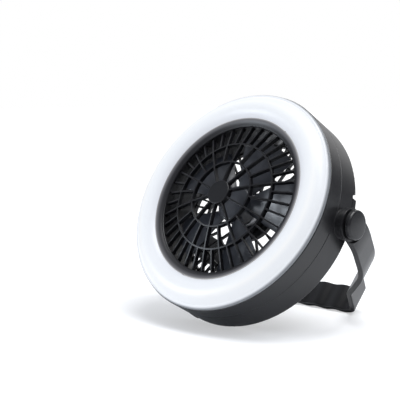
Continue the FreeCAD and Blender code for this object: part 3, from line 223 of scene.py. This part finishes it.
# %% Floor, sky and lamps
FLOOR_SIZE = 12
FLOOR_GLOW = 1.25
GLOW_SHARE = [(0.15, (0.34, 0.34, 0.34)), (0.6, (0.97, 0.97, 0.97))]
bpy.ops.mesh.primitive_plane_add(size=FLOOR_SIZE, location=(0, 0, 0))
floor = bpy.context.object
floor.name = "studio_floor"
floor_finish = Finish(
    "pale_floor", Base_Color=(0.88, 0.89, 0.91, 1), Roughness=0.9, Specular_IOR_Level=0.1)
glow = floor_finish.node("ShaderNodeEmission", None, {
    "Color": (1, 1, 1, 1), "Strength": FLOOR_GLOW})
share = floor_finish.ramp(floor_finish.radius(floor_finish.place()), GLOW_SHARE)
seen = floor_finish.node("ShaderNodeLightPath").output("Is Camera Ray") * share
shared = floor_finish.node("ShaderNodeMixShader", None, {
    0: seen, 1: Wire(floor_finish, floor_finish.shader.outputs[0]), 2: glow})
floor_finish.feed(floor_finish.out.inputs["Surface"], shared)
floor.data.materials.append(floor_finish.material)

SKY_BY_HEIGHT = [(0.1, (0.09, 0.09, 0.10)), (0.9, (0.6, 0.63, 0.68))]
BACKDROP_WAY = Vector((-0.35, 0.9, 0.3))
BACKDROP_EDGE = [(0.84, (0, 0, 0)), (0.95, (1, 1, 1))]
WHITE = (1.0, 1.0, 1.0, 1)
world = bpy.data.worlds.new("studio_sky")
world.use_nodes = True
bpy.context.scene.world = world
sky = Graph(world.node_tree)
sky.tree.nodes.clear()
sky_way = sky.node("ShaderNodeTexCoord").output("Generated")
sky_height = sky.node("ShaderNodeSeparateXYZ", None, {0: sky_way}).output("Z")
above = sky.ramp(sky_height, SKY_BY_HEIGHT)
toward_backdrop = sky.node("ShaderNodeVectorMath", {"operation": "DOT_PRODUCT"}, {
    0: sky_way, 1: BACKDROP_WAY.normalized()}).output("Value")
backdrop = sky.ramp(toward_backdrop, BACKDROP_EDGE)
sky_light = sky.mix(backdrop, above, WHITE)
sky_soft = sky.node("ShaderNodeBackground", None, {"Color": sky_light, "Strength": 1.0})
sky_white = sky.node("ShaderNodeBackground", None, {"Color": WHITE, "Strength": 1.0})
camera_sees = sky.node("ShaderNodeLightPath").output("Is Camera Ray")
sky_shared = sky.node("ShaderNodeMixShader", None, {
    0: camera_sees, 1: sky_soft, 2: sky_white})
sky.node("ShaderNodeOutputWorld", None, {"Surface": sky_shared})


def lamp(name, size, watts, place, aim, colour=(1, 1, 1)):
    data = bpy.data.lights.new(name, "AREA")
    data.size = size
    data.energy = watts
    data.color = colour
    made = bpy.data.objects.new(name, data)
    bpy.context.scene.collection.objects.link(made)
    made.location = place
    made.rotation_euler = (Vector(aim) - Vector(place)).to_track_quat("-Z", "Y").to_euler()


lamp("top_lamp", size=0.9, watts=22, place=(0.25, 0.1, 1.4), aim=(0, 0, 0.0))
lamp("blade_lamp", size=0.5, watts=9, place=(-0.9, -1.0, 0.33), aim=(0, 0, 0.08),
     colour=(0.85, 0.92, 1.0))
lamp("right_lamp", size=0.4, watts=3, place=(0.9, -0.1, 1.1), aim=(0.08, 0, 0.08),
     colour=(0.93, 0.96, 1.0))

# %% [markdown]
# The shell, the handle and the grille are moulded in a near-black plastic. A mould leaves a very
# fine grain, so the sheen is soft, and every edge is a little round, which catches a thin line
# of light. The grain is a small bump, and the edge is a bevel that only the shading sees. The
# ring light spills onto the outer band of the grille's funnel. A faint glow stands in for it,
# and grows with the distance from the fan's axis. A ramp only reads from 0 to 1, so that
# distance is counted in tenths of a metre.

# %% Black moulded plastic
CLOUD_SIZE = 0.03
CLOUD_LIGHTENS = 1.18
GRAIN_SIZE = 0.00035
GRAIN_DEPTH = 0.00002
TENTHS_PER_METRE = 10
FUNNEL_GLOW_STRENGTH = 0.38
FUNNEL_GLOW = [(0.606, (0, 0, 0)), (0.635, (0.05, 0.05, 0.055)),
               (0.66, (0.35, 0.35, 0.38)), (0.671, (1, 1, 1))]


def moulded_plastic(name, colour, roughness, edge, shine=0.42):
    finish = Finish(name, Roughness=roughness, Specular_IOR_Level=shine)
    place = finish.place()
    cloud = finish.noise(place, CLOUD_SIZE, 3)
    light = tuple(c * CLOUD_LIGHTENS for c in colour)
    finish.set("Base Color", finish.mix(cloud, (*colour, 1), (*light, 1)))
    finish.set("Roughness", roughness - 0.04 + cloud * 0.08)
    finish.bump(finish.noise(place, GRAIN_SIZE, 1), GRAIN_DEPTH, 0.5, edge)
    return finish


shell_black = moulded_plastic(
    "shell_plastic", (0.009, 0.009, 0.010), roughness=0.36, edge=0.0004)
grille_black = moulded_plastic(
    "grille_plastic", (0.004, 0.004, 0.005), roughness=0.36, edge=0.0003, shine=0.26)
handle_black = moulded_plastic(
    "handle_plastic", (0.008, 0.008, 0.009), roughness=0.34, edge=0.0005, shine=0.36)
inside_black = moulded_plastic(
    "inside_plastic", (0.006, 0.006, 0.007), roughness=0.5, edge=0.0003)
switch_grey = moulded_plastic(
    "switch_plastic", (0.05, 0.05, 0.055), roughness=0.4, edge=0.0003)

funnel = grille_black.radius(grille_black.fan_place()) * TENTHS_PER_METRE
grille_black.set("Emission Strength", FUNNEL_GLOW_STRENGTH)
grille_black.set("Emission Color", grille_black.ramp(funnel, FUNNEL_GLOW))

wear(["front_housing", "rear_housing", "battery_door_left", "battery_door_right"], shell_black)
wear(["front_grille"], grille_black)
wear(["handle", "hook"], handle_black)
wear(["pivot_knob_left", "pivot_knob_right", "pivot_pin_left", "pivot_pin_right"], handle_black)
wear(["rear_grille", "motor_end_cap", "dc_jack", "switch_body"], inside_black)
wear(["power_switch"], switch_grey)

# %% [markdown]
# The slide switch has small ridges for the thumb. We model one as a bar: a cube scaled to size,
# its edges rounded, then repeated along the switch by an array. The repeats are made real, and
# the mesh is moved onto the rim, so that the object itself stays at the origin and only its
# mesh has a place.

# %% Ridges on the slide switch
RIDGE_COUNT = 5
RIDGE_PITCH = 0.0012
RIDGE_SIZE = Vector((0.0006, 0.0007, 0.0052))
RIDGE_ROUND = 0.0002
SWITCH_ANGLE = math.radians(-106.5)
SWITCH_FACE = 0.0903
SWITCH_MIDDLE_DEPTH = 0.0351
SMOOTH_BELOW = math.radians(40)
bpy.ops.mesh.primitive_cube_add(size=1, location=(0, 0, 0))
ridges = bpy.context.object
ridges.name = "switch_ridges"
bpy.ops.object.mode_set(mode="EDIT")
bpy.ops.transform.resize(value=RIDGE_SIZE)
bpy.ops.mesh.select_all(action="SELECT")
bpy.ops.mesh.bevel(offset=RIDGE_ROUND, segments=3, affect="EDGES")
bpy.ops.object.mode_set(mode="OBJECT")
repeat = ridges.modifiers.new("repeat", "ARRAY")
repeat.count = RIDGE_COUNT
repeat.use_relative_offset = False
repeat.use_constant_offset = True
repeat.constant_offset_displace = (0, RIDGE_PITCH, 0)
bpy.ops.object.modifier_apply(modifier=repeat.name)
first_ridge = Vector((SWITCH_FACE, -RIDGE_PITCH * (RIDGE_COUNT - 1) / 2, -SWITCH_MIDDLE_DEPTH))
across = Matrix.Translation(first_ridge)
around = Matrix.Rotation(SWITCH_ANGLE, 4, "Z")
ridges.data.transform(Matrix.Translation(fan_centre) @ tilt.to_4x4() @ around @ across)
ridges.data.materials.append(switch_grey.material)
bpy.ops.object.shade_smooth_by_angle(angle=SMOOTH_BELOW)
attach(ridges, "power_switch")
ridges_low, ridges_high = ridges.bound_box[0], ridges.bound_box[6]
print("ridges reach", [round(v, 4) for v in ridges_low], [round(v, 4) for v in ridges_high])
bpy.ops.object.select_all(action="DESELECT")

# %% [markdown]
# The cover of the power socket is soft rubber: a little greyer than the shell and dull, with a
# dusty sheen instead of a highlight.

# %% Rubber
rubber = Finish("cover_rubber", Specular_IOR_Level=0.3)
rubber_place = rubber.place()
rubber_cloud = rubber.noise(rubber_place, 0.004, 3)
rubber.set("Base Color", rubber.mix(
    rubber_cloud, (0.016, 0.016, 0.017, 1), (0.026, 0.026, 0.027, 1)))
rubber.set("Roughness", 0.62 + rubber_cloud * 0.15)
rubber.bump(rubber.noise(rubber_place, 0.0003, 1), depth=0.00002, strength=0.6, edge=0.0003)
wear(["jack_cover"], rubber)

# %% [markdown]
# The fan's blades are a slightly bluish dark plastic, smoother than the shell, so that they
# pick up the light that comes through the grille.

# %% Blades
blade_plastic = Finish("blade_plastic", Specular_IOR_Level=0.7)
blade_place = blade_plastic.place()
blade_cloud = blade_plastic.noise(blade_place, 0.02, 2)
blade_plastic.set("Base Color", blade_plastic.mix(
    blade_cloud, (0.020, 0.022, 0.028, 1), (0.030, 0.033, 0.042, 1)))
blade_plastic.set("Roughness", 0.26 + blade_cloud * 0.08)
blade_plastic.bump(
    blade_plastic.noise(blade_place, 0.0006, 1), depth=0.00001, strength=0.4, edge=0.0003)
wear(["impeller"], blade_plastic)

# %% [markdown]
# The ring light is lit. Opal plastic scatters the light of the chips under it, so it glows
# nearly evenly. Light and shade are painted into that glow: a painted highlight in a soft line
# along its crown, painted shade with a touch of blue on its inner slope, a little painted shade
# toward its outer edge, and dark painted shade on the wall that drops into the housing. The
# glow follows the distance from the fan's axis, from the ring's inner to its outer radius.

# %% Opal ring light
RING_INNER = 0.0672
RING_OUTER = 0.0895
# The ring's glow, with a painted highlight along the crown and painted shade on the inner slope,
# toward the outer edge and on the outer wall.
OPAL_GLOW_AND_PAINTED_SHADE = [
    (0.0, (0.74, 0.76, 0.82)), (0.2, (0.86, 0.88, 0.93)), (0.45, (0.93, 0.95, 0.98)),
    (0.58, (1.0, 1.0, 1.0)), (0.72, (0.9, 0.92, 0.96)), (0.93, (0.86, 0.88, 0.92)),
    (0.95, (0.62, 0.63, 0.67)), (0.985, (0.04, 0.04, 0.045))]
opal = Finish("opal_diffuser", Roughness=0.35, Specular_IOR_Level=0.35, Emission_Strength=0.7)
opal_place = opal.fan_place()
opal_across = (opal.radius(opal_place) - RING_INNER) / (RING_OUTER - RING_INNER)
opal.set("Base Color", opal.mix(
    opal.noise(opal_place, 0.02, 2), (0.16, 0.17, 0.18, 1), (0.18, 0.19, 0.20, 1)))
opal.set("Emission Color", opal.ramp(opal_across, OPAL_GLOW_AND_PAINTED_SHADE))
opal.bump(opal.noise(opal_place, 0.0005, 1), depth=0.00001, strength=0.3)
wear(["light_diffuser"], opal)

# %% [markdown]
# Metals: the motor's can and shaft and the hook's pin are plain steel with faint marks, the
# bush is brass, the contacts are bright plated strip, and the case screws are blackened.


# %% Metals
def metal(name, dark, light, roughness, grain):
    finish = Finish(name, Metallic=1.0)
    place = finish.place()
    marks = finish.noise(place, grain, 3)
    finish.set("Base Color", finish.mix(marks, (*dark, 1), (*light, 1)))
    finish.set("Roughness", roughness + marks * 0.12)
    finish.bump(finish.noise(place, grain / 4, 1), depth=0.00001, strength=0.4, edge=0.0002)
    return finish


steel = metal("turned_steel", (0.42, 0.42, 0.43), (0.58, 0.58, 0.6), 0.28, 0.002)
brass = metal("bush_brass", (0.55, 0.4, 0.2), (0.7, 0.54, 0.3), 0.3, 0.001)
plated = metal("plated_strip", (0.55, 0.55, 0.56), (0.7, 0.7, 0.7), 0.22, 0.002)
screw_black = metal("blackened_steel", (0.03, 0.03, 0.032), (0.06, 0.06, 0.065), 0.35, 0.001)
wear(["motor_can", "motor_shaft", "hook_pin"], steel)
wear(["motor_bush"], brass)
wear(["battery_contacts_left", "battery_contacts_right"], plated)
wear(["case_screws"], screw_black)

# %% [markdown]
# Hidden pieces still get a true finish, because a door opens on some of them: white solder
# mask on the light's board, yellow chips on it, a green control board, and cells in a plain
# dark sleeve.

# %% Boards, chips and cells
board_white = moulded_plastic("white_solder_mask", (0.6, 0.6, 0.6), roughness=0.4, edge=0.0002)
board_green = moulded_plastic(
    "green_solder_mask", (0.02, 0.12, 0.05), roughness=0.35, edge=0.0002)
chip = moulded_plastic("chip_phosphor", (0.7, 0.62, 0.25), roughness=0.25, edge=0.0002)
wear(["led_board"], board_white)
wear(["control_board"], board_green)
wear(["led_chips"], chip)

sleeve = Finish("cell_sleeve", Roughness=0.3, Metallic=0.4)
sleeve_cloud = sleeve.noise(sleeve.place(), 0.01, 2)
sleeve.set("Base Color", sleeve.mix(
    sleeve_cloud, (0.12, 0.13, 0.15, 1), (0.16, 0.17, 0.19, 1)))
wear([n for n in nodes if n.startswith("battery_cell")], sleeve)

# %% [markdown]
# Last, we list the pieces that were given no finish.

# %% Finish
bare = [n for n, o in nodes.items() if not o.data.materials or o.data.materials[0] is None]
print("pieces with no finish:", bare)
